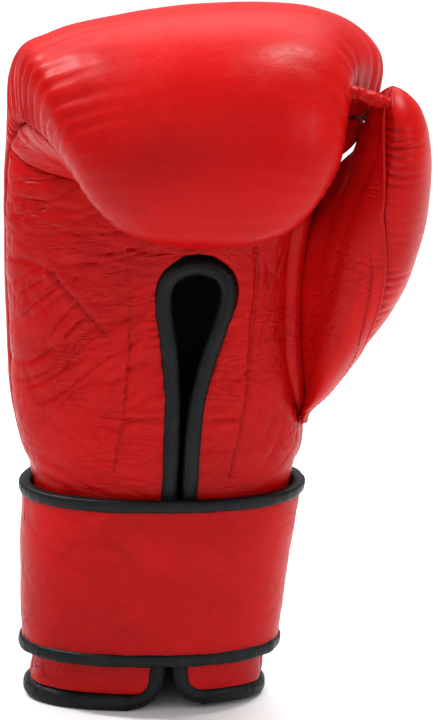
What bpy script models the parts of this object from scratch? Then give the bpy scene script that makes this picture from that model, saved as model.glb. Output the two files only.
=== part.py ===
"""A padded leather boxing glove for the right hand, standing on its cuff.

Metres, +Z up. The palm faces -Y, the back of the hand faces +Y and the thumb is on the +X side.
The hand is one long section swept up from the cuff and then curled forward over a pivot line, as a
closed fist is. A place on it is given by three values:
  along   distance up the hand in mm, and past CURL_START around the curl
  around  angle about the hand in degrees: 0 thumb side, 90 back, 180 little finger side, 270 palm
  depth   distance below the leather's outer surface in mm
Every panel, pad and lining is a window of that space, so neighbours meet without overlapping.
"""

import math

import bmesh
import bpy
from mathutils import Vector

MM = 0.001
# From the middle of the hand's wrist line to the middle of the whole glove, in mm.
MIDDLE_X = 0.287
MIDDLE_Y = 17.956

# Driving dimensions, in mm.
LEATHER = 1.2
FIT_GAP = 0.3
FOAM_GAP = 0.5
LINING = 0.9
LINING_GAP = 0.7
SEAM_GAP = 0.5
PALM_FOAM = 2.2
SOFT_SHARE = 0.42
FINGER_END = 328.0
SQUARENESS = 2.25
PALM_FULLNESS = 0.9
THUMB_FULLNESS = 2.8
PIVOT_Y = -36.0
CURL_START = 222.0
CURL_RATE = 0.6
CURL_END = CURL_START + 180 * CURL_RATE
WRIST_LINE = 100.0
HEM_HEIGHT = 7.0
HEM_WIDTH = 7.6
# The hole from the hand into the thumb: its heights, and how many degrees it takes from the main
# panel, from the palm panel and from each inner part of the thumb.
THUMB_HOLE = (120.0, 186.0)
HOLE_BACK = 38.0
HOLE_PALM = 30.0
HOLE_THUMB = 38.0
SLIT_TOP = 196.0
PALM_TOP = 216.0
TIP_END = 346.0
TURN_STEP = 12.0
ROW_STEP = 12.0
# The rows are closer where the section narrows to the fingertips.
TIP_ROWS = (320, 328, 334, 340, 344)

STRAP_BOTTOM = 20.5
STRAP_TOP = 92.5
BINDING_HEIGHT = 5.6
STRAP_LIFT = 1.3
STRAP_CORE = 1.4
BINDING_PROUD = 0.8
PATCH = 1.0
# Rise of the strap's end where it lies on its own root, with the two patches between them.
OVER_ROOT = 7.1

# Where the strap's segments meet, as angles around the wrist. It is sewn on at the back, crosses the
# thumb side and the palm, and ends on top of its own root.
STRAP_SEWN = 100.0
THUMB_HINGE = 0.0
PALM_HINGE = -162.0
TAB_HINGE = -230.0
STRAP_END = -325.0

# Sections of the hand: along, centre x, half width, pivot to section line, palm depth, back depth.
HAND = (
    (0, -32.5, 50.5, 36, 34, 36),
    (21, -31, 48.5, 36, 33, 35),
    (60, -28.5, 50.5, 36, 33, 36),
    (92, -25.5, 53, 36, 34, 38),
    (110, -24.5, 56.5, 36, 35, 41),
    (130, -25.5, 59, 36, 35, 45),
    (163, -27, 60.5, 36, 35.5, 49),
    (193, -26, 62.5, 36, 35.5, 50.5),
    (222, -21, 68, 36, 34.5, 50),
    (240, -13.5, 75.5, 40, 38.5, 49),
    (258, -10.5, 79, 42, 40.5, 45),
    (276, -10, 78.5, 40, 38.5, 40),
    (294, -9, 70.5, 35, 33.5, 35),
    (312, -7, 59, 29, 27.5, 29),
    (330, -6, 44, 25, 22, 23),
    (340, -6, 33, 24, 18, 19),
    (346, -6, 17, 23.5, 10, 11),
)
# Padding under the leather: along, side, palm side, back.
PADDING = (
    (0, 6, 4.5, 7),
    (100, 7, 4.5, 9),
    (130, 10, 4.5, 18),
    (163, 13, 4.5, 26),
    (193, 16, 5, 31),
    (222, 20, 12, 34),
    (240, 21, 17, 37),
    (276, 22, 18.5, 37),
    (294, 20, 18.5, 30),
    (312, 18, 16, 22),
    (328, 16, 12, 16),
)
# Sections of the thumb: height, centre x, centre y, half width, half depth.
THUMB = (
    (124, 39, -13, 5, 8),
    (134, 44, -15, 9.5, 15),
    (155, 51.5, -19, 16.5, 23),
    (180, 59.5, -24, 22, 26),
    (205, 65, -28, 22.5, 27),
    (228, 70, -31, 19, 25),
    (248, 73.5, -34, 14.5, 20),
    (258, 74, -35, 10.5, 14.5),
    (264, 74, -36, 4.5, 6),
)
THUMB_LINER_TOP = 244.0
THUMB_STEP = 15.0
# Half width of the palm slit's opening in the leather: height, half width at the binding's outside.
SLIT = ((0, 8.6), (95, 8.4), (133, 9.2), (160, 14), (178, 18.4), (188, 16), (194, 9), (196, 3))
# Line of the slit up the palm: height, x.
SLIT_LINE = ((0, -22), (95, -16.5), (133, -14), (180, -9), (222, -8))
BINDING_RADIUS = 3.3
# The fist is pressed in beside the thumb: depth, angle of its middle, and where it starts and ends.
DENT = 13.0
DENT_MIDDLE = -14.0
DENT_ALONG = ((228, 0), (250, 1), (288, 1), (316, 0))


def smooth(table, at):
    """The table's columns at a place, on a curve that passes through every row."""
    at = min(max(at, table[0][0]), table[-1][0])
    i = max(k for k in range(len(table) - 1) if table[k][0] <= at)
    before, low, high, after = (table[min(max(k, 0), len(table) - 1)] for k in range(i - 1, i + 3))
    span = high[0] - low[0]
    t = (at - low[0]) / span
    values = []
    for a, b, c, d in zip(before[1:], low[1:], high[1:], after[1:]):
        rise_low = (c - a) / max(high[0] - before[0], 1) * span
        rise_high = (d - b) / max(after[0] - low[0], 1) * span
        values.append(
            b * (1 + 2 * t) * (1 - t) ** 2
            + rise_low * t * (1 - t) ** 2
            + c * t * t * (3 - 2 * t)
            - rise_high * t * t * (1 - t)
        )
    return values


def round_part(value, squareness):
    """Bends a cosine or sine so that the section is fuller than an ellipse."""
    return math.copysign(abs(value) ** (2 / squareness), value)


def ease(share):
    """A ramp from 0 to 1 with level ends."""
    share = min(max(share, 0), 1)
    return share * share * (3 - 2 * share)


def dent(along, around):
    """How far the thumb side of the fist is pressed in to make room for the thumb."""
    off_middle = abs((around - DENT_MIDDLE + 180) % 360 - 180)
    start, full, end, gone = (row[0] for row in DENT_ALONG)
    rise = ease((along - start) / (full - start)) * ease((gone - along) / (gone - end))
    return DENT * rise * ease((80 - off_middle) / 55)


def squareness(along, around):
    """How square the hand's section is. The ball of the thumb makes the palm fuller on its side."""
    if around % 360 <= 270:
        return SQUARENESS
    return SQUARENESS + PALM_FULLNESS * ease((along - 100) / 30) * ease((224 - along) / 20)


def placed(x, y, z):
    """A point in metres, from the middle of the whole glove."""
    return Vector((x + MIDDLE_X, y + MIDDLE_Y, z)) * MM


def hand_point(along, around, depth):
    """A point of the hand, in metres."""
    centre, width, reach, palm, back = smooth(HAND, along)
    turn = math.radians(min(max((along - CURL_START) / CURL_RATE, 0), 180))
    straight = min(along, CURL_START) - max(along - CURL_END, 0)
    angle = math.radians(around)
    half = back if math.sin(angle) > 0 else palm
    square = squareness(along, around)
    x = centre + max(width - depth, 1) * round_part(math.cos(angle), square) - dent(along, around)
    out = reach + max(half - depth, 1) * round_part(math.sin(angle), square)
    y = PIVOT_Y + out * math.cos(turn)
    z = straight + out * math.sin(turn)
    return placed(x, y, z)


def padding(along, around):
    """Depth of the lining's outer side: thick over the back of the hand, thin in the palm."""
    side, palm, back = smooth(PADDING, along)
    upright = math.sin(math.radians(around))
    return side + ((back if upright > 0 else palm) - side) * upright * upright


def around_of(along, x):
    """The angle at which the palm side of the hand reaches this x."""
    centre, width = smooth(HAND, along)[:2]
    share = min(max((x - centre) / width, -1), 1)
    cosine = round_part(share, 4 / squareness(along, 271 if share > 0 else 269))
    return 360 - math.degrees(math.acos(cosine))


def slit_edge(along, side, clear=FIT_GAP):
    """Angle of the palm leather's edge beside the slit: side -1 is the little finger's, +1 the thumb's."""
    line = smooth(SLIT_LINE, along)[0]
    half = smooth(SLIT, along)[0] if along < SLIT_TOP else 0
    return around_of(along, line + side * (max(half, 0) + clear))


def thumb_point(height, around, depth):
    """A point of the thumb: around 0 faces out, 90 the back, 180 the fist and 270 the front."""
    x, y, half_width, half_depth = smooth(THUMB, height)
    angle = math.radians(around)
    square = THUMB_FULLNESS if 180 < around % 360 < 270 else 2
    across = max(half_width - depth, 0.8) * round_part(math.cos(angle), square)
    out = max(half_depth - depth, 0.8) * round_part(math.sin(angle), square)
    return placed(x + across, y + out, height)


def spread(start, end, count):
    """Evenly spaced values from start to end, both included."""
    return [start + (end - start) * k / count for k in range(count + 1)]


def grid(start, end, step):
    """From start to end by way of every multiple of step between them.

    Layers that share a step have their facets one above the other, so they keep their gap.
    """
    low, high = min(start, end), max(start, end)
    margin = 0.2 * step
    first = math.ceil((low + margin) / step)
    inner = [k * step for k in range(first, math.floor((high - margin) / step) + 1)]
    values = [low, *inner, high]
    return values if start < end else values[::-1]


def rows(start, end):
    """Distances along the hand for a piece."""
    tips = [row for row in TIP_ROWS if start + 2 < row < end - 1]
    if not tips:
        return grid(start, end, ROW_STEP)
    return (grid(start, 312, ROW_STEP) if start < 312 else [start]) + tips + [end]


def around_to_slit(along, clear, start=None):
    """Angles round the back of the hand that end at the slit, with the same count at every row.

    They begin at the slit's other edge, or at a start angle.
    """
    low = slit_edge(along, 1, clear) - 360 if start is None else start
    first = -4 * TURN_STEP if start is None else math.ceil(start / TURN_STEP) * TURN_STEP
    inner = [first + k * TURN_STEP for k in range(int((260 - first) / TURN_STEP) + 1)]
    return [low, *(a for a in inner if a > low), slit_edge(along, -1, clear)]


def material(name, colour, roughness, metallic=0.0):
    """A named surface finish, made once."""
    found = bpy.data.materials.get(name)
    if found:
        return found
    made = bpy.data.materials.new(name)
    made.use_nodes = True
    shader = made.node_tree.nodes["Principled BSDF"]
    shader.inputs["Base Color"].default_value = (*colour, 1)
    shader.inputs["Roughness"].default_value = roughness
    shader.inputs["Metallic"].default_value = metallic
    made.diffuse_color = (*colour, 1)
    return made


def red_leather():
    return material("red_leather", (0.62, 0.012, 0.012), 0.42)


def black_binding():
    return material("black_binding", (0.015, 0.016, 0.018), 0.45)


def black_lining():
    return material("black_lining", (0.012, 0.012, 0.014), 0.85)


def pad_foam():
    return material("pad_foam", (0.72, 0.68, 0.58), 0.95)


def hook_and_loop():
    return material("hook_and_loop", (0.02, 0.02, 0.022), 0.9)


def add_object(name, points, faces, finish):
    """Puts a mesh in the scene with its faces smooth except at hard edges."""
    mesh = bpy.data.meshes.new(name)
    mesh.from_pydata(points, [], faces)
    work = bmesh.new()
    work.from_mesh(mesh)
    bmesh.ops.recalc_face_normals(work, faces=work.faces)
    work.to_mesh(mesh)
    work.free()
    mesh.materials.append(finish)
    mesh.shade_smooth()
    mesh.set_sharp_from_angle(angle=math.radians(40))
    made = bpy.data.objects.new(name, mesh)
    bpy.context.scene.collection.objects.link(made)
    return made


def skin_of_rings(rings, inner_side):
    """Points and faces that join closed rings in order.

    Each four-sided face is cut into two triangles, always along the same direction of the surface, so
    that the layers above and below it are cut alike. inner_side says if a face is on the inner side,
    where the order of its points is turned round.
    """
    size = len(rings[0])
    points = [p for ring in rings for p in ring]
    faces = []
    for k in range(len(rings) - 1):
        low, high = k * size, (k + 1) * size
        for j in range(size):
            n = (j + 1) % size
            if inner_side(k, j):
                faces += [(low + j, low + n, high + j), (low + n, high + n, high + j)]
            else:
                faces += [(low + j, low + n, high + n), (low + j, high + n, high + j)]
    return points, faces


def slab(name, place, alongs, arounds, depths, finish):
    """A closed piece between two depths over a window of the surface.

    place is hand_point or thumb_point. arounds gives the angles for a distance along, and depths the
    outer and inner depth at an along and an around.
    """
    rings = []
    for along in alongs:
        angles = arounds(along)
        outer = [place(along, a, depths(along, a)[0]) for a in angles]
        inner = [place(along, a, depths(along, a)[1]) for a in angles]
        rings.append(outer + inner[::-1])
    size = len(rings[0])
    points, faces = skin_of_rings(rings, lambda k, j: j >= size // 2)
    last = len(points) - size
    for j in range(size // 2 - 1):
        far = size - 1 - j
        faces.append((j + 1, j, far, far - 1))
        faces.append((last + j, last + j + 1, last + far - 1, last + far))
    return add_object(name, points, faces, finish)


def sleeve(name, place, alongs, depth_out, depth_in, steps, finish):
    """A closed stall of fabric: a full ring all round, open below and shut at its top."""
    angles = spread(0, 360, steps)[:-1]
    outer = [[place(along, a, depth_out(along, a)) for a in angles] for along in alongs]
    inner = [[place(along, a, depth_in(along, a)) for a in angles] for along in alongs[:-1]]
    points, faces = skin_of_rings(outer + inner[::-1], lambda k, j: k >= len(outer))
    shut = len(outer) * steps
    kept = [f for f in faces if max(f) < shut or min(f) >= shut]
    kept.append(tuple(range(shut - steps, shut)))
    kept.append(tuple(range(shut + steps - 1, shut - 1, -1)))
    first, last = 0, len(points) - steps
    for j in range(steps):
        n = (j + 1) % steps
        kept.append((first + n, first + j, last + j, last + n))
    return add_object(name, points, kept, finish)


def tube(name, route, radius, finish):
    """A round cord or binding along a list of points."""
    curve = bpy.data.curves.new(name, "CURVE")
    curve.dimensions = "3D"
    curve.bevel_depth = radius * MM
    curve.bevel_resolution = 2
    curve.use_fill_caps = True
    line = curve.splines.new("POLY")
    line.points.add(len(route) - 1)
    for point, place in zip(line.points, route):
        point.co = (*place, 1)
    curve.materials.append(finish)
    made = bpy.data.objects.new(name, curve)
    bpy.context.scene.collection.objects.link(made)
    return made


def window(start, end, step=TURN_STEP):
    """The same angles at every distance along."""
    return lambda along: grid(start, end, step)


def between(outer, inner):
    """The same two depths everywhere."""
    return lambda along, around: (outer, inner)


def hole(height):
    """Share of the thumb hole's full width at a height of the hand or thumb."""
    low, high = THUMB_HOLE
    return ease((height - low) / 8) * ease((high - 6 - height) / 8)


def back_window(start, end):
    """Angles of the main panel or its pad, which start later beside the thumb hole."""
    last = 3 * TURN_STEP

    def angles(along):
        narrow = 1 - HOLE_BACK * hole(along) / (last - start)
        return [last - (last - a) * narrow if a < last else a for a in grid(start, end, TURN_STEP)]

    return angles


def thumb_window(start, end, low, high, count):
    """Angles of a thumb part that gives way by HOLE_THUMB at the hole: low and high say at which end."""
    return lambda height: spread(
        start + (HOLE_THUMB * hole(height) if low else 0),
        end - (HOLE_THUMB * hole(height) if high else 0),
        count,
    )


def palm_window(side, count, shrink=0.0):
    """Angles of a palm panel, from the side seam to the slit. A pad under it stops a little shorter."""

    def little_finger_side(along):
        return [*spread(189, slit_edge(along, -1), count)[:-1], slit_edge(along, -1, FIT_GAP + shrink)]

    def thumb_side(along):
        end = 351 - HOLE_PALM * hole(along)
        return [slit_edge(along, 1, FIT_GAP + shrink), *spread(slit_edge(along, 1), end, count)[1:]]

    return little_finger_side if side < 0 else thumb_side


def palm_rows_to_top():
    """Rows of the palm panels, closer where the slit ends."""
    return rows(HEM_HEIGHT + SEAM_GAP, SLIT_TOP - 26) + spread(SLIT_TOP - 26, PALM_TOP, 8)[1:]


def leather_panels():
    """The outer skin: main panel over the fist, cuff back, two palm panels, fold gussets, finger panel."""
    skin = between(0, LEATHER)
    leather = red_leather()
    slab("knuckle_panel", hand_point, rows(WRIST_LINE + SEAM_GAP, TIP_END), back_window(-8, 188), skin,
         leather)
    slab("cuff_back_panel", hand_point, rows(HEM_HEIGHT + SEAM_GAP, WRIST_LINE), window(-8, 188), skin,
         leather)
    palm_rows = palm_rows_to_top()
    slab("palm_panel_pinky", hand_point, palm_rows, palm_window(-1, 7), skin, leather)
    slab("palm_panel_thumb", hand_point, palm_rows, palm_window(1, 6), skin, leather)
    fold_rows = rows(PALM_TOP + SEAM_GAP, CURL_END - 9)
    slab("fold_gusset_pinky", hand_point, fold_rows, window(189, 230), skin, leather)
    slab("fold_gusset_thumb", hand_point, fold_rows, window(310, 351), skin, leather)
    slab("finger_panel", hand_point, rows(CURL_END - 8, TIP_END), window(190, 350), skin, leather)


def hand_padding():
    """Layered foam between the leather and the lining."""
    outer = LEATHER + FOAM_GAP

    def soft(along, around):
        return outer, SOFT_SHARE * padding(along, around)

    def firm(along, around):
        return SOFT_SHARE * padding(along, around) + FIT_GAP, padding(along, around) - LINING_GAP

    def whole(along, around):
        return outer, padding(along, around) - LINING_GAP

    fist_rows = rows(THUMB_HOLE[1] + SEAM_GAP, FINGER_END)
    slab("knuckle_foam_soft", hand_point, fist_rows, window(-6, 186), soft, pad_foam())
    slab("knuckle_foam_firm", hand_point, fist_rows, window(-6, 186), firm, pad_foam())
    back_rows = rows(WRIST_LINE + SEAM_GAP, THUMB_HOLE[1])
    slab("hand_back_foam", hand_point, back_rows, back_window(-6, 186), whole, pad_foam())
    cuff_rows = rows(HEM_HEIGHT + SEAM_GAP, WRIST_LINE)
    slab("cuff_foam", hand_point, cuff_rows, window(-6, 186), whole, pad_foam())
    palm_rows = [row for row in palm_rows_to_top() if row < SLIT_TOP + 8]
    thin = between(outer, outer + PALM_FOAM)
    slab("palm_foam_pinky", hand_point, palm_rows, palm_window(-1, 7, 1), thin, pad_foam())
    slab("palm_foam_thumb", hand_point, palm_rows, palm_window(1, 6, 1), thin, pad_foam())
    slab("fingertip_foam", hand_point, rows(FINGER_END + SEAM_GAP, 340), window(0, 180),
         lambda along, around: (outer, smooth(HAND, along)[4] - 1.5), pad_foam())


def hand_lining():
    """The fabric that the hand touches, in sewn parts, and the bar that the fingers close on."""

    def outside(along, around):
        return padding(along, around)

    def inside(along, around):
        return padding(along, around) + LINING

    def both(along, around):
        return outside(along, around), inside(along, around)

    low, high = THUMB_HOLE
    cloth = black_lining()
    slab("cuff_lining", hand_point, rows(HEM_HEIGHT + SEAM_GAP, low),
         lambda along: around_to_slit(along, 1.5), both, cloth)
    middle = rows(low + SEAM_GAP, high)
    slab("palm_lining", hand_point, middle,
         lambda along: around_to_slit(along, 1.5, 34), both, cloth)
    slab("thumb_side_lining", hand_point, middle,
         lambda along: spread(slit_edge(along, 1, 1.5), 315, 3), both, cloth)
    slab("knuckle_lining", hand_point, rows(high + SEAM_GAP, SLIT_TOP + 2.5), window(-20, 200), both, cloth)
    sleeve("finger_lining", hand_point, rows(SLIT_TOP + 3, FINGER_END), outside, inside, 30, cloth)
    bar_height = CURL_START + 11
    bar_ends = [placed(x, PIVOT_Y, bar_height) for x in (-46, 26)]
    tube("grip_bar", bar_ends, 7.6, pad_foam())


def thumb_parts():
    """The thumb: outer and inner leather, its pads, its fabric stall and the sewn seam cord."""
    skin = between(0, LEATHER)
    thumb_rows = grid(THUMB[0][0], 252, ROW_STEP) + [THUMB[-2][0], THUMB[-1][0]]
    slab("thumb_outer_panel", thumb_point, thumb_rows, window(-86, 86, THUMB_STEP), skin, red_leather())
    slab("thumb_front_panel", thumb_point, thumb_rows, thumb_window(181, 266, True, False, 6), skin,
         red_leather())
    slab("thumb_back_panel", thumb_point, thumb_rows, thumb_window(94, 179, False, True, 6), skin,
         red_leather())
    pad_rows = grid(130, 252, ROW_STEP) + [THUMB[-2][0]]
    slab("thumb_foam", thumb_point, pad_rows, window(-98, 98, THUMB_STEP),
         lambda along, around: (LEATHER + FIT_GAP, stall_depth(around) - FOAM_GAP), pad_foam())
    thin = between(LEATHER + FOAM_GAP, 3.7)
    slab("thumb_front_foam", thumb_point, pad_rows, thumb_window(182, 253, True, False, 5), thin,
         pad_foam())
    slab("thumb_back_foam", thumb_point, pad_rows, thumb_window(107, 178, False, True, 5), thin,
         pad_foam())

    def outside(along, around):
        return stall_depth(around)

    def inside(along, around):
        return stall_depth(around) + LINING

    hole_top = THUMB_HOLE[1] + 4
    sleeve("thumb_tip_lining", thumb_point, grid(hole_top, THUMB_LINER_TOP, ROW_STEP), outside, inside, 24,
           black_lining())

    def both(along, around):
        return outside(along, around), inside(along, around)

    slab("thumb_base_lining", thumb_point, grid(142, hole_top - SEAM_GAP, ROW_STEP),
         window(-140, 140, THUMB_STEP), both, black_lining())
    seam = [thumb_point(height, 270, -1.3) for height in grid(136, 258, ROW_STEP)]
    tube("thumb_seam_cord", seam, 0.9, red_leather())
    fist_end, thumb_end = hand_point(294, -12, -4), thumb_point(254, 215, -3.6)
    middle = (fist_end + thumb_end) / 2 + Vector((0, 0, 2)) * MM
    tube("thumb_lock_strap", [fist_end, middle, thumb_end], 2.6, red_leather())


def stall_depth(around):
    """Depth of the thumb's lining below its leather: more under the outer pad."""
    return 4.4 + 3.6 * (0.5 + 0.5 * math.cos(math.radians(around)))


def bindings():
    """The black bound edges of the palm slit and of the cuff's hem."""
    route = []
    heights = spread(HEM_HEIGHT + 4, 150, 8) + spread(150, 188, 6)[1:]
    depth = LEATHER + 1.3
    for side in (-1, 1):
        leg = []
        for height in heights:
            line = smooth(SLIT_LINE, height)[0]
            half = smooth(SLIT, height)[0] - BINDING_RADIUS - 1.2
            leg.append(hand_point(height, around_of(height, line + side * half), depth))
        route.extend(leg if side < 0 else leg[::-1])
        if side < 0:
            for x in (-16, -12, -8.5, -5, -1):
                height = SLIT_TOP - BINDING_RADIUS - 1.4 - 0.06 * (x + 8.5) ** 2
                route.append(hand_point(height, around_of(height, x), depth))
    tube("slit_binding", route, BINDING_RADIUS, black_binding())

    slab("hem_binding", hand_point, [0, HEM_HEIGHT], lambda along: around_to_slit(along, -7),
         between(-BINDING_PROUD, HEM_WIDTH), black_binding())


def strap_lift(around):
    """How far the strap's inner side stands off the cuff: it climbs over its own root at the end."""
    return -STRAP_LIFT - OVER_ROOT * ease((TAB_HINGE - around) / 26)


def strap_segment(name, start, end):
    """One length of the strap: leather, core and lining, with a binding along its top and bottom."""
    low, high = STRAP_BOTTOM + BINDING_HEIGHT, STRAP_TOP - BINDING_HEIGHT
    angles = window(start - SEAM_GAP, end + SEAM_GAP)
    heights = spread(low + FIT_GAP, high - FIT_GAP, 3)

    def layer(inner, outer):
        return lambda along, around: (strap_lift(around) - outer, strap_lift(around) - inner)

    core = LINING + FIT_GAP
    top = core + STRAP_CORE + FIT_GAP
    slab(f"strap_{name}_lining", hand_point, heights, angles, layer(0, LINING), black_lining())
    slab(f"strap_{name}_core", hand_point, heights, angles, layer(core, core + STRAP_CORE), pad_foam())
    slab(f"strap_{name}_leather", hand_point, heights, angles, layer(top, top + LEATHER), red_leather())
    edge = layer(0, top + LEATHER + BINDING_PROUD)
    slab(f"strap_{name}_binding_top", hand_point, [high, STRAP_TOP], angles, edge, black_binding())
    slab(f"strap_{name}_binding_bottom", hand_point, [STRAP_BOTTOM, low], angles, edge, black_binding())


def strap():
    """The wrist strap in four lengths that hinge where the real strap bends, and its fastener."""
    end_edge = STRAP_END + 8
    strap_segment("root", STRAP_SEWN, THUMB_HINGE)
    strap_segment("palm", THUMB_HINGE, PALM_HINGE)
    strap_segment("side", PALM_HINGE, TAB_HINGE)
    strap_segment("tab", TAB_HINGE, end_edge)
    outer = 2 * FIT_GAP + LINING + STRAP_CORE + LEATHER + BINDING_PROUD
    slab("strap_tab_binding_end", hand_point, [STRAP_BOTTOM, STRAP_TOP],
         window(end_edge, STRAP_END),
         lambda along, around: (strap_lift(around) - outer, strap_lift(around)), black_binding())
    patch_rows = spread(STRAP_BOTTOM + BINDING_HEIGHT + 3, STRAP_TOP - BINDING_HEIGHT - 3, 3)
    root_top = STRAP_LIFT + 2 * FIT_GAP + LINING + STRAP_CORE + LEATHER + FIT_GAP
    slab("loop_patch", hand_point, patch_rows, window(96, 36), between(-root_top - PATCH, -root_top),
         hook_and_loop())
    slab("hook_patch", hand_point, patch_rows, window(-264, STRAP_END + 10),
         lambda along, around: (strap_lift(around) + FIT_GAP, strap_lift(around) + FIT_GAP + PATCH),
         hook_and_loop())


def main():
    for old in list(bpy.data.objects):
        bpy.data.objects.remove(old)
    leather_panels()
    hand_padding()
    hand_lining()
    thumb_parts()
    bindings()
    strap()


main()
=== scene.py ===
# A padded leather boxing glove for the right hand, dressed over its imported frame.
# Distances below are millimetres on the hand: along it from the cuff, around it in degrees, and
# depth under the leather. handPoint and thumbPoint turn them into metres.
import math

import bpy
import numpy as np
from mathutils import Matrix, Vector
from mathutils.bvhtree import BVHTree


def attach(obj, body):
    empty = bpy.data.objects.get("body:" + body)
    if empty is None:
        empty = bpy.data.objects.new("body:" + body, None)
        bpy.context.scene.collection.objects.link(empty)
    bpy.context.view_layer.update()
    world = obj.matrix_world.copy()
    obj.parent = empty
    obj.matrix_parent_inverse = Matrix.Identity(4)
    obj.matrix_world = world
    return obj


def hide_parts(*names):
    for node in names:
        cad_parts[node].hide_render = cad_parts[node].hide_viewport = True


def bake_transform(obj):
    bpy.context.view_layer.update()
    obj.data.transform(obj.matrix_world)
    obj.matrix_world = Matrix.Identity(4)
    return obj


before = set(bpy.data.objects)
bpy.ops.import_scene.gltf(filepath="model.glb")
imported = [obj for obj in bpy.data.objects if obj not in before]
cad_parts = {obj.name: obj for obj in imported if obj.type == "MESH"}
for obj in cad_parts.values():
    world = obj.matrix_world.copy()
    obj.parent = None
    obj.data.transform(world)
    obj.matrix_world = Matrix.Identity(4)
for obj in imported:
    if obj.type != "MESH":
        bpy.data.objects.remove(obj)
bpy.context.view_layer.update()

glove = {
    "middle": (0.287, 17.956),
    "pivotY": -36.0,
    "curlStart": 222.0,
    "curlRate": 0.6,
    "squareness": 2.25,
    "palmFullness": 0.9,
    # how much the knuckles slope down on the little finger's side
    "slope": 5.2,
    # how far the fist gives way beside the thumb
    "dent": 6.0,
    # along, centre x, half width, pivot to middle, palm depth, back depth
    "hand": (
        (0, -32.5, 50.5, 36, 34, 36),
        (21, -29.8, 48.5, 36, 33, 35),
        (60, -27.2, 50.5, 36, 33, 36),
        (92, -24.4, 53.4, 36, 34, 38),
        (110, -24.7, 59, 36, 35, 41),
        (130, -27, 60.5, 36, 35, 45),
        (163, -27.8, 61.3, 36, 35.5, 49),
        (193, -26.7, 63.2, 36, 35.5, 50.5),
        (222, -21, 68.5, 36, 34.5, 50),
        (240, -18, 70, 40, 38.5, 49),
        (250, -12, 75, 41, 39.5, 43.6),
        (258, -9, 77, 42, 40.5, 39.8),
        (276, -12, 69, 40, 38.5, 35.1),
        (294, -9.5, 61.5, 35, 33.5, 34),
        (312, -6.5, 54, 29, 27.5, 29),
        (330, -6, 44, 25, 22, 23),
        (340, -6, 33, 24, 18, 19),
        (346, -6, 17, 23.5, 10, 11),
    ),
    # along, padding at the sides, in the palm and on the back
    "padding": (
        (0, 6, 4.5, 7),
        (100, 7, 4.5, 9),
        (130, 10, 4.5, 18),
        (163, 13, 4.5, 26),
        (193, 16, 5, 31),
        (222, 20, 12, 34),
        (240, 21, 17, 37),
        (276, 22, 18.5, 37),
        (294, 20, 18.5, 30),
        (312, 18, 16, 22),
        (328, 16, 12, 16),
    ),
    # height, half width of the palm slit
    "slit": ((0, 8.6), (95, 8.4), (133, 9.2), (160, 14), (178, 18.4), (188, 16), (194, 9), (196, 3)),
    # height, x of its middle
    "slitLine": ((0, -22), (95, -16.5), (133, -14), (180, -9), (222, -8)),
}


def tableAt(table, at):
    rows = np.array(table, float)
    at = np.clip(np.asarray(at, float), rows[0, 0], rows[-1, 0])
    last = len(rows) - 1
    i = np.clip(np.searchsorted(rows[:, 0], at, side="right") - 1, 0, last - 1)
    before, low, high, after = (rows[np.clip(i + k, 0, last)] for k in (-1, 0, 1, 2))
    span = (high[..., 0] - low[..., 0])[..., None]
    t = ((at - low[..., 0]) / span[..., 0])[..., None]
    riseLow = (high - before)[..., 1:] / np.maximum(high[..., :1] - before[..., :1], 1) * span
    riseHigh = (after - low)[..., 1:] / np.maximum(after[..., :1] - low[..., :1], 1) * span
    value = (
        low[..., 1:] * (1 + 2 * t) * (1 - t) ** 2
        + riseLow * t * (1 - t) ** 2
        + high[..., 1:] * t * t * (3 - 2 * t)
        - riseHigh * t * t * (1 - t)
    )
    return np.moveaxis(value, -1, 0)


def ease(share):
    share = np.clip(share, 0, 1)
    return share * share * (3 - 2 * share)


def roundPart(value, square):
    return np.sign(value) * np.abs(value) ** (2 / square)


def squareAt(along, around):
    turned = np.mod(around, 360)
    full = glove["palmFullness"] * ease((along - 100) / 30) * ease((224 - along) / 20)
    ends = 0.62 * ease((90 - turned) / 30) + 0.46 * ease((turned - 100) / 30) * ease((200 - turned) / 20)
    shoulder = ends * ease((along - 240) / 14) * ease((300 - along) / 20)
    return glove["squareness"] + np.where(turned > 270, full, 0) + shoulder


def handPoint(along, around, depth):
    along, around, depth = np.broadcast_arrays(*(np.asarray(v, float) for v in (along, around, depth)))
    centre, width, reach, palm, back = tableAt(glove["hand"], along)
    start, rate = glove["curlStart"], glove["curlRate"]
    turn = np.radians(np.clip((along - start) / rate, 0, 180))
    straight = np.minimum(along, start) - np.maximum(along - start - 180 * rate, 0)
    angle = np.radians(around)
    half = np.where(np.sin(angle) > 0, back, palm)
    square = squareAt(along, around)
    offMiddle = np.abs(np.mod(around + 38 + 180, 360) - 180)
    dent = glove["dent"] * ease((along - 228) / 22) * ease((306 - along) / 28) * ease((60 - offMiddle) / 45)
    x = centre + np.maximum(width - depth, 1) * roundPart(np.cos(angle), square) - dent
    out = reach + np.maximum(half - depth, 1) * roundPart(np.sin(angle), square)
    turned = np.mod(around, 360)
    slope = glove["slope"] * ease((turned - 60) / 66) * ease((166 - turned) / 34)
    out = out - slope * ease((along - 236) / 20) * ease((318 - along) / 26)
    y = glove["pivotY"] + out * np.cos(turn)
    z = straight + out * np.sin(turn)
    return np.stack([x + glove["middle"][0], y + glove["middle"][1], z], axis=-1) * 0.001


def paddingAt(along, around):
    side, palm, back = tableAt(glove["padding"], along)
    upright = np.sin(np.radians(around))
    return side + (np.where(upright > 0, back, palm) - side) * upright * upright


def aroundOf(along, x):
    # the angle at which the palm reaches this x
    along, x = np.asarray(along, float), np.asarray(x, float)
    centre, width = tableAt(glove["hand"], along)[:2]
    share = np.clip((x - centre) / width, -1, 1)
    square = squareAt(along, np.where(share > 0, 271, 269))
    return 360 - np.degrees(np.arccos(roundPart(share, 4 / square)))


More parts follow.
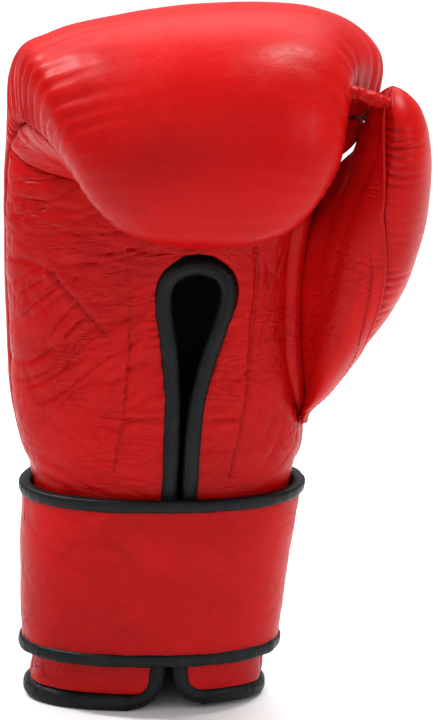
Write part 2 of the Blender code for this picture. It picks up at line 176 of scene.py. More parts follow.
def slitEdge(along, side, clear):
    along = np.asarray(along, float)
    half = np.where(along < 196, tableAt(glove["slit"], along)[0], 0)
    return aroundOf(along, tableAt(glove["slitLine"], along)[0] + side * (np.maximum(half, 0) + clear))


# meshes

def newObject(name, points, faces, finish, sharp=40):
    mesh = bpy.data.meshes.new(name)
    mesh.from_pydata(np.asarray(points).reshape(-1, 3).tolist(), [], faces)
    mesh.materials.append(finish)
    mesh.shade_smooth()
    mesh.set_sharp_from_angle(angle=math.radians(sharp))
    made = bpy.data.objects.new(name, mesh)
    bpy.context.scene.collection.objects.link(made)
    return made


def facingOut(points, faces):
    # a closed mesh whose volume comes out negative is inside out
    volume = 0.0
    for corners in (4, 3):
        part = np.array([f for f in faces if len(f) == corners])
        if len(part):
            a, b, c = (points[part[:, k]] for k in (0, 1, 2))
            volume += np.einsum("ij,ij->", a, np.cross(b, c))
            if corners == 4:
                d = points[part[:, 3]]
                volume += np.einsum("ij,ij->", a, np.cross(c, d))
    return faces if volume > 0 else [f[::-1] for f in faces]


def closedSheet(name, outer, inner, finish):
    # outer and inner are grids of points of one size; the rim between them is closed
    rows, columns = outer.shape[:2]
    points = np.concatenate([outer.reshape(-1, 3), inner.reshape(-1, 3)])
    at = np.arange(rows * columns).reshape(rows, columns)
    a, b, c, d = at[:-1, :-1], at[:-1, 1:], at[1:, 1:], at[1:, :-1]
    top = np.stack([a, b, c, d], axis=-1).reshape(-1, 4)
    under = top[:, ::-1] + rows * columns
    rim = np.concatenate([at[0, :-1], at[:-1, -1], at[-1, :0:-1], at[:0:-1, 0]])
    after = np.roll(rim, -1)
    side = np.stack([after, rim, rim + rows * columns, after + rows * columns], axis=-1)
    faces = np.concatenate([top, under, side]).tolist()
    return newObject(name, points, facingOut(points, faces), finish)


def closedTube(name, rings, finish):
    # rings is a grid: along the tube, then round it; both ends are capped
    count, size = rings.shape[:2]
    points = rings.reshape(-1, 3)
    at = np.arange(count * size).reshape(count, size)
    around = np.roll(at, -1, axis=1)
    faces = np.stack([at[:-1], around[:-1], around[1:], at[1:]], axis=-1).reshape(-1, 4).tolist()
    ends = [points[:size].mean(0), points[-size:].mean(0)]
    points = np.concatenate([points, ends])
    first, last = count * size, count * size + 1
    for k in range(size):
        n = (k + 1) % size
        faces.append([int(at[0, n]), int(at[0, k]), first])
        faces.append([int(at[-1, k]), int(at[-1, n]), last])
    return newObject(name, points, facingOut(points, faces), finish, 60)


def edgeDistances(points):
    # millimetres from each point of a grid to its left, right, bottom and top edge, along the surface
    across = np.linalg.norm(np.diff(points, axis=1), axis=2) * 1000
    up = np.linalg.norm(np.diff(points, axis=0), axis=2) * 1000
    left = np.concatenate([np.zeros((points.shape[0], 1)), np.cumsum(across, axis=1)], axis=1)
    bottom = np.concatenate([np.zeros((1, points.shape[1])), np.cumsum(up, axis=0)], axis=0)
    return left, left[:, -1:] - left, bottom, bottom[-1:] - bottom


def lattice(u, v, seed):
    # a smooth random field from -1 to 1, one bump to a unit
    random = np.random.default_rng(seed).random((64, 64)) * 2 - 1
    iu, iv = np.floor(u).astype(int), np.floor(v).astype(int)
    fu, fv = ease(u - iu), ease(v - iv)
    low = random[iu % 64, iv % 64] * (1 - fu) + random[(iu + 1) % 64, iv % 64] * fu
    high = random[iu % 64, (iv + 1) % 64] * (1 - fu) + random[(iu + 1) % 64, (iv + 1) % 64] * fu
    return low * (1 - fv) + high * fv


def creases(u, v, direction, length, spacing, seed):
    # thin wrinkle lines from 0 to 1 that run in a direction, in degrees
    turn = math.radians(direction)
    a, b = u * math.cos(turn) + v * math.sin(turn), v * math.cos(turn) - u * math.sin(turn)
    bend = lattice(a / length, b / length, seed + 1) * 0.9
    field = lattice(a / length, b / spacing + bend * 1.1, seed)
    fade = 0.5 + 0.5 * lattice(a / (length * 1.3), b / (spacing * 4), seed + 2)
    return np.clip(1 - np.abs(field) * 3.2, 0, 1) ** 1.5 * fade


def gathers(s, distance, spacing, reach, seed):
    # puckers where leather is gathered into a seam, from 0 to 1, fading with distance from it
    phase = s / spacing + 0.55 * lattice(s / 17, s * 0, seed) + distance / 60 * lattice(s / 9, s * 0 + 3, seed)
    strength = 0.45 + 0.55 * (0.5 + 0.5 * lattice(s / (spacing * 0.9), s * 0 + 7, seed))
    long = reach * (0.7 + 0.5 * lattice(s / (spacing * 0.7), s * 0 + 11, seed))
    return (0.5 - 0.5 * np.cos(2 * np.pi * phase)) ** 1.7 * strength * np.exp(-((distance / long) ** 1.5))


def tuck(distance, depth=1.7, width=1.6):
    return depth * np.exp(-distance / width)


def placePiece(made, body, slot, *nodes):
    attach(made, body)
    if nodes:
        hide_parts(*nodes)
    return made


# finishes

class Wire:
    # a socket of a finish's node tree that can be used in sums
    def __init__(self, finish, socket):
        self.finish, self.socket = finish, socket

    def calc(self, operation, *values):
        return self.finish.node("Math", {"operation": operation}, {k: v for k, v in enumerate((self, *values))})

    def __add__(self, other):
        return self.calc("ADD", other)

    def __mul__(self, other):
        return self.calc("MULTIPLY", other)

    def __sub__(self, other):
        return self.calc("SUBTRACT", other)

    def __rsub__(self, other):
        return self.finish.node("Math", {"operation": "SUBTRACT"}, {0: other, 1: self})

    def __pow__(self, other):
        return self.calc("POWER", other)

    def __truediv__(self, other):
        return self.calc("DIVIDE", other)

    __radd__ = __add__
    __rmul__ = __mul__

    def over(self, low, high):
        # 0 below low, 1 above high
        ends = {1: low, 2: high, 3: 0.0, 4: 1.0}
        return self.finish.node("MapRange", {"interpolation_type": "SMOOTHSTEP"}, {0: self, **ends})


class Finish:
    def __init__(self, name, shader):
        self.material = bpy.data.materials.new(name)
        self.material.use_nodes = True
        self.tree = self.material.node_tree
        self.shader = self.tree.nodes["Principled BSDF"]
        for socket, value in shader.items():
            self.shader.inputs[socket].default_value = value
        self.spot = self.node("TexCoord", {}, {}, "Object")

    def node(self, kind, settings, values, output=0):
        made = self.tree.nodes.new("ShaderNode" + kind)
        for key, value in settings.items():
            if key == "stops":
                while len(made.color_ramp.elements) < len(value):
                    made.color_ramp.elements.new(0.5)
                for element, (place, colour) in zip(made.color_ramp.elements, value):
                    element.position, element.color = place, (*colour, 1)
            else:
                setattr(made, key, value)
        for key, value in values.items():
            if isinstance(value, Wire):
                self.tree.links.new(value.socket, made.inputs[key])
            else:
                made.inputs[key].default_value = value
        return Wire(self, made.outputs[output])

    def feed(self, socket, wire):
        self.tree.links.new(wire.socket, self.shader.inputs[socket])

    def noise(self, scale, detail=3.0, rough=0.5, warp=0.0, stretch=(1, 1, 1)):
        where = self.node("Mapping", {}, {"Vector": self.spot, "Scale": stretch})
        values = {"Vector": where, "Scale": scale, "Detail": detail, "Roughness": rough, "Distortion": warp}
        return self.node("TexNoise", {}, values)

    def cells(self, scale, feature="DISTANCE_TO_EDGE", warp=None):
        values = {"Vector": warp or self.spot, "Scale": scale}
        return self.node("TexVoronoi", {"feature": feature}, values)

    def blend(self, share, low, high):
        values = {0: share, 6: (*low, 1) if isinstance(low, tuple) else low}
        values[7] = (*high, 1) if isinstance(high, tuple) else high
        return self.node("Mix", {"data_type": "RGBA"}, values, 2)

    def bump(self, height, distance, strength=1.0, under=None):
        values = {"Height": height, "Distance": distance, "Strength": strength}
        if under:
            values["Normal"] = under
        return self.node("Bump", {}, values)

    def attribute(self, name):
        return self.node("Attribute", {"attribute_name": name}, {}, "Fac")


leatherLook = {
    "deep": (0.31, 0.0015, 0.0015),
    # the darker red that folds, seams and fine creases are darkened towards, as painted shade
    "fold": (0.2, 0.001, 0.002),
    "red": (0.43, 0.002, 0.002),
    "worn": (0.48, 0.004, 0.003),
    "grainSize": 0.00085,
    "grainDepth": 0.00005,
}


def leatherFinish(name, creaseDepth, roughness, creaseScale=150.0):
    look = leatherLook
    f = Finish(name, {"Coat Weight": 0.02, "Coat Roughness": 0.25, "Specular IOR Level": 0.085})
    broad = f.noise(14.0, 3.0, 0.55)
    fine = f.noise(420.0, 2.0, 0.6)
    # the crease mask written by markCreases; it darkens the colour as painted shade and raises the roughness
    fold = f.attribute("crease")
    # small pebbles with soft valleys, uneven in height
    pebbles = f.cells(1 / look["grainSize"], "SMOOTH_F1")
    pores = f.noise(2600.0, 1.0, 0.5)
    grain = (1 - pebbles) * 0.8 + pores * 0.35
    # fine creases: where a bent noise crosses its middle; they bump and roughen the leather and darken its colour as
    # painted shade
    lines = f.noise(creaseScale, 2.0, 0.45, 0.35, (0.55, 0.55, 1.5))
    crease = 1 - (lines - 0.5).calc("ABSOLUTE").over(0.0, 0.09)
    where = f.noise(34.0, 2.0, 0.5).over(0.44, 0.66)
    creaseMask = crease * where
    colour = f.blend(broad.over(0.3, 0.7), look["deep"], look["red"])
    colour = f.blend(fine.over(0.35, 0.8) * 0.35, colour, look["worn"])
    # painted shade: the colour is darkened in folds, seams and fine creases
    shadow = (fold * 0.75 + creaseMask * min(creaseDepth * 600, 0.2)).calc("MINIMUM", 1.0)
    colour = f.blend(shadow, colour, look["fold"])
    f.feed("Base Color", colour)
    f.feed("Roughness", roughness + broad * 0.1 + creaseMask * 0.12 + fold * 0.1)
    low = f.bump(1 - creaseMask, creaseDepth, 1.0)
    f.feed("Normal", f.bump(grain, look["grainDepth"], 1.0, low))
    return f.material


def bindingFinish():
    f = Finish("blackBinding", {"Coat Weight": 0.02, "Coat Roughness": 0.3, "Specular IOR Level": 0.14})
    broad = f.noise(90.0, 3.0, 0.6)
    pebbles = f.cells(1500.0, "SMOOTH_F1")
    puckers = f.noise(260.0, 2.0, 0.5, 0.6)
    colour = f.blend(broad.over(0.35, 0.75), (0.0028, 0.0034, 0.0042), (0.007, 0.008, 0.010))
    f.feed("Base Color", colour)
    f.feed("Roughness", 0.4 + broad * 0.16)
    low = f.bump(puckers, 0.0003, 0.7)
    f.feed("Normal", f.bump(1 - pebbles, 0.00004, 1.0, low))
    return f.material


def clothFinish(name, colour, threads=1300.0):
    f = Finish(name, {"Specular IOR Level": 0.3, "Sheen Weight": 0.25, "Sheen Roughness": 0.5})
    one = f.node("TexWave", {"bands_direction": "DIAGONAL"}, {"Vector": f.spot, "Scale": threads / 20})
    two = f.node("TexWave", {"bands_direction": "Z"}, {"Vector": f.spot, "Scale": threads / 14})
    weave = one * 0.5 + two * 0.5
    patch = f.noise(60.0, 3.0, 0.6)
    shade = f.blend(weave * 0.6 + patch * 0.4, tuple(c * 0.55 for c in colour), tuple(c * 1.5 for c in colour))
    f.feed("Base Color", shade)
    f.feed("Roughness", 0.82 + patch * 0.12)
    f.feed("Normal", f.bump(weave, 0.00012, 0.9))
    return f.material


def foamFinish():
    f = Finish("padFoam", {"Specular IOR Level": 0.25})
    cells = f.cells(1100.0, "F1")
    patch = f.noise(70.0, 3.0, 0.6)
    f.feed("Base Color", f.blend(cells * 0.6 + patch * 0.4, (0.62, 0.57, 0.46), (0.80, 0.76, 0.66)))
    f.feed("Roughness", 0.85 + patch * 0.12)
    f.feed("Normal", f.bump(cells, 0.0002, 0.8))
    return f.material


def patchFinish():
    f = Finish("hookAndLoop", {"Specular IOR Level": 0.35, "Sheen Weight": 0.4})
    fuzz = f.noise(1900.0, 4.0, 0.7, 0.8)
    rows = f.cells(700.0, "F1")
    f.feed("Base Color", f.blend(fuzz, (0.010, 0.010, 0.012), (0.05, 0.05, 0.055)))
    f.feed("Roughness", 0.8 + fuzz * 0.15)
    f.feed("Normal", f.bump(fuzz * 0.6 + rows * 0.4, 0.0006, 1.0))
    return f.material


def threadFinish(name, colour):
    f = Finish(name, {"Specular IOR Level": 0.12})
    twist = f.node("TexWave", {"bands_direction": "DIAGONAL"}, {"Vector": f.spot, "Scale": 900.0})
    f.feed("Base Color", f.blend(twist, tuple(c * 0.6 for c in colour), colour))
    f.feed("Roughness", 0.5 + twist * 0.15)
    f.feed("Normal", f.bump(twist, 0.00008, 0.8))
    return f.material


smoothLeather = leatherFinish("redLeather", 0.000012, 0.30)
creasedLeather = leatherFinish("redLeatherCreased", 0.00024, 0.31)
strapLeather = leatherFinish("redLeatherStrap", 0.00008, 0.36, 90.0)
blackBinding = bindingFinish()
blackLining = clothFinish("blackLining", (0.007, 0.007, 0.008))
padFoam = foamFinish()
hookAndLoop = patchFinish()
redThread = threadFinish("redThread", (0.36, 0.006, 0.008))
blackThread = threadFinish("blackThread", (0.012, 0.012, 0.014))
print("finishes made")


def markCreases(made, values):
    # values over the outer grid: a crease mask that the leather finishes darken as painted shade and roughen; the
    # inner side stays at zero
    flat = np.zeros(len(made.data.vertices), np.float32)
    values = np.clip(np.asarray(values).reshape(-1), 0, 1)
    flat[: len(values)] = values
    made.data.attributes.new("crease", "FLOAT", "POINT").data.foreach_set("value", flat)


def spread(start, end, step):
    return np.linspace(start, end, max(int(round(abs(end - start) / step)), 2) + 1)


# the padded main panel, from the wrist over the knuckles to the fingertips

mainPanel = {
    "from": 100.5,
    "to": 346.0,
    "angles": (-8.0, 188.0),
    "step": 1.0,
    "angleStep": 1.2,
    "gatherSpacing": 5.0,
    "gatherReach": 30.0,
    "gatherDepth": 2.6,
    "puff": 1.3,
    "thickness": 1.2,
}


def holeAt(height):
    return ease((height - 120) / 8) * ease((180 - height) / 8)


def knuckleBow(along):
    # the side seams swing towards the palm beside the knuckles
    return np.exp(-(((along - 264) / 24) ** 2))


def buildMainPanel():
    p = mainPanel
    along = spread(p["from"], p["to"], p["step"])[:, None]
    share = spread(0, 1, p["angleStep"] / (p["angles"][1] - p["angles"][0]))[None, :]
    start = p["angles"][0] - 5 * knuckleBow(along)
    around = start + (p["angles"][1] + 8 * knuckleBow(along) - start) * share
    along = along + 0 * around
    flat = handPoint(along, around, 0)
    left, right, bottom, top = edgeDistances(flat)
    fist = ease((along - 228) / 30)
    sides = np.minimum(left, right)
    # puffed between its seams, gathered into them over the fist
    puff = p["puff"] * fist * (1 - np.exp(-((sides / 14) ** 2))) * (1 - np.exp(-((top / 12) ** 2)))
    gatherLeft = gathers(along, left, p["gatherSpacing"], p["gatherReach"], 5)
    gatherRight = gathers(along, right, p["gatherSpacing"] * 0.85, p["gatherReach"] * 1.25, 9)
    zone = ease((along - 232) / 20) * (0.25 + 0.75 * ease((318 - along) / 40))
    tips = gathers(left, top, 6.5, 9, 15) * 0.3 * ease((80 - left) / 30)
    folds = ((gatherLeft + gatherRight * 1.15) * zone + tips) * p["gatherDepth"]
    loose = creases(around * 1.1, along, 78, 60, 9, 31) * 0.5 * ease((250 - along) / 40)
    soft = 0.35 * lattice(around / 24, along / 28, 3) + 0.12 * lattice(around / 7, along / 8, 4)
    depth = tuck(sides, 2.0, 1.4) + tuck(np.minimum(bottom, top), 1.6, 1.4) - puff + folds + loose + soft
    outer = handPoint(along, around, depth)
    inner = handPoint(along, around, depth + p["thickness"])
    made = closedSheet("mainPanel", outer, inner, smoothLeather)
    # painted shade: darker in the gathers, the loose creases and along the tucked seams
    markCreases(made, folds / p["gatherDepth"] * 0.35 + tuck(sides, 0.9, 1.0) + loose * 0.3)
    return placePiece(made, "glove", "red_leather", "knuckle_panel")


buildMainPanel()
print("main panel built")


# stitches

def stitchTree():
    tree = bpy.data.node_groups.new("stitchRow", "GeometryNodeTree")
    face = tree.interface
    face.new_socket("Geometry", in_out="INPUT", socket_type="NodeSocketGeometry")
    for name, value in (("Spacing", 0.0032), ("Stitch Length", 0.0024), ("Thread Radius", 0.0003)):
        face.new_socket(name, in_out="INPUT", socket_type="NodeSocketFloat").default_value = value
    face.new_socket("Thread", in_out="INPUT", socket_type="NodeSocketMaterial")
    face.new_socket("Geometry", in_out="OUTPUT", socket_type="NodeSocketGeometry")
    new, link = tree.nodes.new, tree.links.new
    entry, leave = new("NodeGroupInput"), new("NodeGroupOutput")
    curve = new("GeometryNodeMeshToCurve")
    link(entry.outputs["Geometry"], curve.inputs["Mesh"])
    points = new("GeometryNodeCurveToPoints")
    points.mode = "LENGTH"
    link(curve.outputs["Curve"], points.inputs["Curve"])
    link(entry.outputs["Spacing"], points.inputs["Length"])
    bead = new("GeometryNodeMeshUVSphere")
    bead.inputs["Segments"].default_value = 7
    bead.inputs["Rings"].default_value = 6
    bead.inputs["Radius"].default_value = 1.0
    half = new("ShaderNodeMath")
    half.operation = "MULTIPLY"
    half.inputs[1].default_value = 0.5
    link(entry.outputs["Stitch Length"], half.inputs[0])
    size = new("ShaderNodeCombineXYZ")
    link(half.outputs[0], size.inputs["X"])
    link(entry.outputs["Thread Radius"], size.inputs["Y"])
    link(entry.outputs["Thread Radius"], size.inputs["Z"])
    shaped = new("GeometryNodeTransform")
    link(bead.outputs["Mesh"], shaped.inputs["Geometry"])
    link(size.outputs[0], shaped.inputs["Scale"])
    align = new("FunctionNodeAlignRotationToVector")
    align.axis = "X"
    link(points.outputs["Tangent"], align.inputs["Vector"])
    instances = new("GeometryNodeInstanceOnPoints")
    link(points.outputs["Points"], instances.inputs["Points"])
    link(shaped.outputs["Geometry"], instances.inputs["Instance"])
    link(align.outputs["Rotation"], instances.inputs["Rotation"])
    real = new("GeometryNodeRealizeInstances")
    link(instances.outputs["Instances"], real.inputs["Geometry"])
    dressed = new("GeometryNodeSetMaterial")
    link(real.outputs["Geometry"], dressed.inputs["Geometry"])
    link(entry.outputs["Thread"], dressed.inputs["Material"])
    link(dressed.outputs["Geometry"], leave.inputs["Geometry"])
    return tree


stitchRow = stitchTree()


def sewStitches(name, paths, thread, spacing=0.0033, length=0.0024, radius=0.00032):
    # paths are lists of points; each becomes one row of stitches
    points, edges = [], []
    for path in paths:
        first = len(points)
        points += [tuple(p) for p in path]
        edges += [(k, k + 1) for k in range(first, len(points) - 1)]
    mesh = bpy.data.meshes.new(name)
    mesh.from_pydata(points, edges, [])
    guide = bpy.data.objects.new(name + "Guide", mesh)
    bpy.context.scene.collection.objects.link(guide)
    sewing = guide.modifiers.new("stitches", "NODES")
    values = {"Spacing": spacing, "Stitch Length": length, "Thread Radius": radius, "Thread": thread}
    sewing.node_group = stitchRow
    for item in stitchRow.interface.items_tree:
        if item.in_out == "INPUT" and item.name in values:
            sewing[item.identifier] = values[item.name]
    bpy.context.view_layer.update()
    result = bpy.data.meshes.new_from_object(guide.evaluated_get(bpy.context.evaluated_depsgraph_get()))
    bpy.data.objects.remove(guide)
    result.name = name
    result.shade_smooth()
    made = bpy.data.objects.new(name, result)
    bpy.context.scene.collection.objects.link(made)
    return made


def onSurface(pieces, path, lift=0.00012):
    # the path moved onto the nearest point of the pieces, a little proud of them
    trees = []
    for piece in pieces:
        mesh = piece.data
        corners = [v.co for v in mesh.vertices]
        trees.append(BVHTree.FromPolygons(corners, [tuple(f.vertices) for f in mesh.polygons]))
    moved = []
    for point in path:
        found = [tree.find_nearest(Vector(point)) for tree in trees]
        spot, normal = min(found, key=lambda f: f[3])[:2]
        moved.append(spot + normal * lift)
    return moved


def curved(corners, count=60):
    # a smooth line through corner points
    corners = np.asarray(corners, float)
    at = np.concatenate([[0], np.cumsum(np.linalg.norm(np.diff(corners, axis=0), axis=1))])
    table = np.concatenate([at[:, None], corners], axis=1)
    return tableAt(table, np.linspace(0, at[-1], count)).T


# the palm, in two panels beside the slit

palm = {
    "from": 7.5,
    "to": 216.0,
    "step": 1.05,
    "thickness": 1.2,
    "wrinkleDepth": 1.6,
    # height, x of the rolled edge that the thumb is sewn to
    "weltLine": ((110, 38), (120, 34.6), (136, 31.6), (150, 29.8), (165, 29.6), (185, 30.2), (200, 31.8), (216, 35)),
    # sewn lines as x and height, with the panels they lie on
    "pinkySeams": (
        ((-71, 187), (-62, 178), (-46, 161)),
        ((-37, 180), (-37.4, 155), (-40, 128), (-44, 104)),
        ((-39.5, 126), (-26, 126.5)),
    ),
    "thumbSeams": (
        ((15, 198), (15.8, 186), (14, 168), (11.5, 140), (8.7, 121), (4, 100)),
        ((-1.5, 126), (8.8, 126)),
    ),
}


def seamDistance(x, z, seams):
    nearest = np.full(np.shape(x), 1e3)
    for seam in seams:
        line = curved(seam, 24)
        for a, b in zip(line[:-1], line[1:]):
            run = b - a
            t = np.clip(((x - a[0]) * run[0] + (z - a[1]) * run[1]) / (run @ run), 0, 1)
            nearest = np.minimum(nearest, np.hypot(x - a[0] - t * run[0], z - a[1] - t * run[1]))
    return nearest


def palmRelief(points, side, seams):
    left, right, bottom, top = edgeDistances(points)
    z = points[..., 2] * 1000
    slitSide, seamSide = (right, left) if side < 0 else (left, right)
    rim = points[:, -1:, 0] if side < 0 else points[:, :1, 0]
    x = rim * 1000 - glove["middle"][0] + side * slitSide
    near = seamDistance(x, z, seams)
    seam = 0.6 * np.exp(-((near / 0.8) ** 2)) - 0.3 * np.exp(-(((near - 2.6) / 1.5) ** 2))
    pucker = 0.30 * np.exp(-near / 3.5) * lattice(x / 2.4, z / 2.4, 41)
    slant = 28 if side < 0 else 62
    high = ease((z - 178) / 14)
    mid = creases(x, z, slant, 34, 5.5, 51) + 0.7 * creases(x, z, slant + 14, 22, 3.6, 52)
    low = creases(x, z, slant - 38, 30, 5.0, 53)
    topLines = creases(x, z, -12 if side < 0 else 70, 38, 4.6, 54) + 0.6 * creases(x, z, 12, 26, 4.0, 55)
    share = ease((150 - z) / 50)
    wrinkles = (mid * (1 - share) + low * share) * (1 - high) + topLines * high
    wrinkles = wrinkles * (1 - 0.75 * ease((100 - z) / 14)) * (1.0 if side < 0 else 0.8)
    slitPull = gathers(z, slitSide, 5.5, 9, 61) * 0.45 * ease((z - 110) / 30)
    bow = 0.45 * lattice(x / 19, z / 17, 57) + 0.2 * lattice(x / 8, z / 6.5, 58)
    wrinkles = wrinkles * (0.3 + 0.7 * ease((seamSide - 4) / 22))
    fine = creases(x, z, slant - 12, 9, 2.6, 63) + creases(x, z, slant + 70, 7, 2.8, 65)
    wrinkles = wrinkles + 0.26 * fine * ease((z - 92) / 14)
    depth = palm["wrinkleDepth"] * wrinkles + seam + pucker + slitPull + bow
    depth = depth + tuck(seamSide, 1.5, 1.2) + tuck(top, 1.5, 1.2) + tuck(bottom, 0.8, 1.2) + 0.5 * tuck(slitSide)
    # folds is the mask of painted shade: darker in the wrinkles, along the sewn lines and at the tucked seam
    folds = wrinkles * 0.2 + np.exp(-((near / 0.7) ** 2)) * 0.3 + tuck(seamSide, 0.7, 0.8)
    return depth, folds


def buildPalm(side):
    p = palm
    along = spread(p["from"], p["to"] + (20 if side < 0 else 0), p["step"])[:, None]
    name = "palmPanelPinky" if side < 0 else "palmPanelThumb"
    clear = np.where(along < 195, -0.9, 0.1)
    if side < 0:
        first, last = 189 + 0 * along, slitEdge(along, -1, clear)
        width = 78
    else:
        welt = aroundOf(along, tableAt(palm["weltLine"], along)[0])
        first, last = slitEdge(along, 1, clear), np.minimum(351, np.where(along < 118, 351, welt))
        width = 60
    share = spread(0, 1, p["step"] / width)[None, :]
    around = first + (last - first) * share
    along = along + 0 * around
    seams = p["pinkySeams"] if side < 0 else p["thumbSeams"]
    depth, folds = palmRelief(handPoint(along, around, 0), side, seams)
    outer, inner = handPoint(along, around, depth), handPoint(along, around, depth + p["thickness"])
    made = closedSheet(name, outer, inner, creasedLeather)
    markCreases(made, folds)
    return placePiece(made, "glove", "red_leather", "palm_panel_pinky" if side < 0 else "palm_panel_thumb")


palmPinky, palmThumb = buildPalm(-1), buildPalm(1)


def palmStitches():
    rows = []
    for seams, piece in ((palm["pinkySeams"], palmPinky), (palm["thumbSeams"], palmThumb)):
        for seam in seams:
            line = curved(seam, 40)
            spots = handPoint(line[:, 1], aroundOf(line[:, 1], line[:, 0]), 0)
            rows.append(onSurface([piece], spots, 0.00005))
    return sewStitches("palmStitches", rows, redThread, 0.0031, 0.0023, 0.00028)


placePiece(palmStitches(), "glove", "red_leather")
print("palm built")


# the gussets inside the curl and the panel under the fingertips

gusset = {"thickness": 1.2, "step": 1.3, "pinkyEdge": 189, "thumbEdge": 351}


def buildCurlPanel(name, node, alongs, arounds, seed, pull):
    along = spread(*alongs, gusset["step"])[:, None]
    first, last = arounds
    first = first + (8 * knuckleBow(along) if first == gusset["pinkyEdge"] else 0)
    last = last - (5 * knuckleBow(along) if last == gusset["thumbEdge"] else 0)
    around = first + (last - first) * spread(0, 1, 1.4 / (arounds[1] - arounds[0]))[None, :]
    along = along + 0 * around
    flat = handPoint(along, around, 0)
    left, right, bottom, top = edgeDistances(flat)
    rim = np.minimum(np.minimum(left, right), np.minimum(bottom, top))
    folds = creases(along, around * 0.9, 64, 40, 7, seed) * pull
    folds = folds + gathers(bottom, left, 6.5, 8, seed + 3) * pull * 0.8
    puff = 1.2 * (1 - np.exp(-((rim / 9) ** 2)))
    depth = tuck(rim, 1.7, 1.3) + folds - puff + 0.3 * lattice(along / 14, around / 12, seed + 5)
    inner = handPoint(along, around, depth + gusset["thickness"])
    made = closedSheet(name, handPoint(along, around, depth), inner, creasedLeather)
    # painted shade: darker in the folds and at the tucked rim
    markCreases(made, folds * 0.5 + tuck(rim, 0.8, 0.9))
    return placePiece(made, "glove", "red_leather", node)


buildCurlPanel("gussetPinky", "fold_gusset_pinky", (236.5, 321), (gusset["pinkyEdge"], 269), 71, 0.8)
buildCurlPanel("gussetThumb", "fold_gusset_thumb", (216.5, 321), (271, gusset["thumbEdge"]), 77, 0.8)
buildCurlPanel("fingerPanel", "finger_panel", (322, 346), (190, 350), 83, 0.4)


# the cuff's back

def buildCuffBack():
    along = spread(7.5, 100, 1.5)[:, None]
    around = spread(-8, 188, 1.6)[None, :] + 0 * along
    along = along + 0 * around
    flat = handPoint(along, around, 0)
    left, right, bottom, top = edgeDistances(flat)
    folds = creases(left, bottom, 18, 30, 6, 91) * 0.4 + creases(left, bottom, -30, 22, 5, 92) * 0.3
    depth = tuck(np.minimum(left, right), 1.5, 1.2) + tuck(np.minimum(bottom, top), 1.2, 1.2) + folds
    depth = depth + 0.35 * lattice(left / 20, bottom / 16, 93)
    inner = handPoint(along, around, depth + gusset["thickness"])
    made = closedSheet("cuffBack", handPoint(along, around, depth), inner, creasedLeather)
    # painted shade: darker in the creases
    markCreases(made, folds * 0.7)
    return placePiece(made, "glove", "red_leather", "cuff_back_panel")


buildCuffBack()
print("gussets and cuff built")


# the thumb

thumb = {
    # height, centre x, centre y, half width, half depth
    "sections": (
        (119, 34, -12.5, 1, 2.5),
        (124, 34.8, -13, 1.8, 5),
        (134, 39.8, -15, 5.8, 12),
        (155, 47.4, -19, 12.9, 21),
        (180, 56, -24, 19, 25),
        (205, 62.2, -28, 20.3, 26.5),
        (228, 68, -31, 17.3, 25),
        (248, 70.9, -34, 13, 19.5),
        (258, 71, -35, 9.4, 14),
        (263, 70.8, -36, 6.5, 8.5),
        (266, 70.5, -36, 2.6, 3.2),
        (266.8, 70.4, -36, 0.8, 0.9),
    ),
    # 2 is a round front of the inner side, less is flatter
    "fullness": 1.35,
    # height, angle of the front seam
    "seam": ((119, 350), (134, 350), (145, 345), (155, 328), (165, 312), (180, 300), (190, 294), (205, 283),
             (228, 259.5), (248, 241.5), (258, 234.6), (267, 234)),
    "step": 1.0,
    "thickness": 1.2,
    "gatherDepth": 1.7,
    "gatherSpacing": 4.0,
    "puff": 1.4,
}


def thumbPoint(height, around, depth):
    height, around, depth = np.broadcast_arrays(*(np.asarray(v, float) for v in (height, around, depth)))
    x, y, halfWidth, halfDepth = tableAt(thumb["sections"], height)
    turned = np.mod(around, 360)
    angle = np.radians(around)
    square = np.where((turned > 180) & (turned < 270), thumb["fullness"], 2.0)
    across = np.maximum(halfWidth - depth, 0.6) * roundPart(np.cos(angle), square)
    out = np.maximum(halfDepth - depth, 0.6) * roundPart(np.sin(angle), square)
    spot = np.stack([x + across + glove["middle"][0], y + out + glove["middle"][1], height + 0 * x], axis=-1)
    return spot * 0.001


def buildThumbPanel(name, nodes, start, end, finish, kind):
    p = thumb
    height = spread(119 if kind == "outer" else 122.5, 266.8, p["step"])[:, None]
    first, last = start(height), end(height)
    share = spread(0, 1, 1 / 64)[None, :]
    around = first + (last - first) * share
    height = height + 0 * around
    flat = thumbPoint(height, around, 0)
    left, right, bottom, _ = edgeDistances(flat)
    rim = np.minimum(left, right)
    ends = ease((height - 121) / 10) * ease((264 - height) / 8)
    if kind == "outer":
        zone = 0.35 + 0.65 * (ease((height - 225) / 12) + ease((200 - height) / 14) * ease((height - 135) / 14))
        folds = gathers(bottom, left, p["gatherSpacing"], 13, 101) * p["gatherDepth"] * zone
        folds = folds + gathers(bottom, right, p["gatherSpacing"], 8, 103) * p["gatherDepth"] * 0.7
        puff = p["puff"] * (1 - np.exp(-((rim / 9) ** 2)))
    else:
        folds = creases(flat[..., 0] * 1000, height, 74, 34, 5.5, 105) * 0.35
        puff = 0.8 * (1 - np.exp(-((rim / 7) ** 2)))
    soft = 0.25 * lattice(left / 13, bottom / 15, 107)
    depth = (folds + soft - puff) * ends + tuck(rim, 1.3, 1.0)
    if kind == "front":
        depth = depth + 1.6 * ease((246 - height) / 20) * ease((height - 122) / 12)
    outer, inner = thumbPoint(height, around, depth), thumbPoint(height, around, depth + p["thickness"])
    made = closedSheet(name, outer, inner, finish)
    # painted shade: darker in the gathers and creases and at the tucked rim
    markCreases(made, folds * 0.6 + tuck(rim, 0.8, 0.9))
    return placePiece(made, "thumb", "red_leather", *nodes)


def thumbSeamAngle(height):
    return tableAt(thumb["seam"], height)[0]


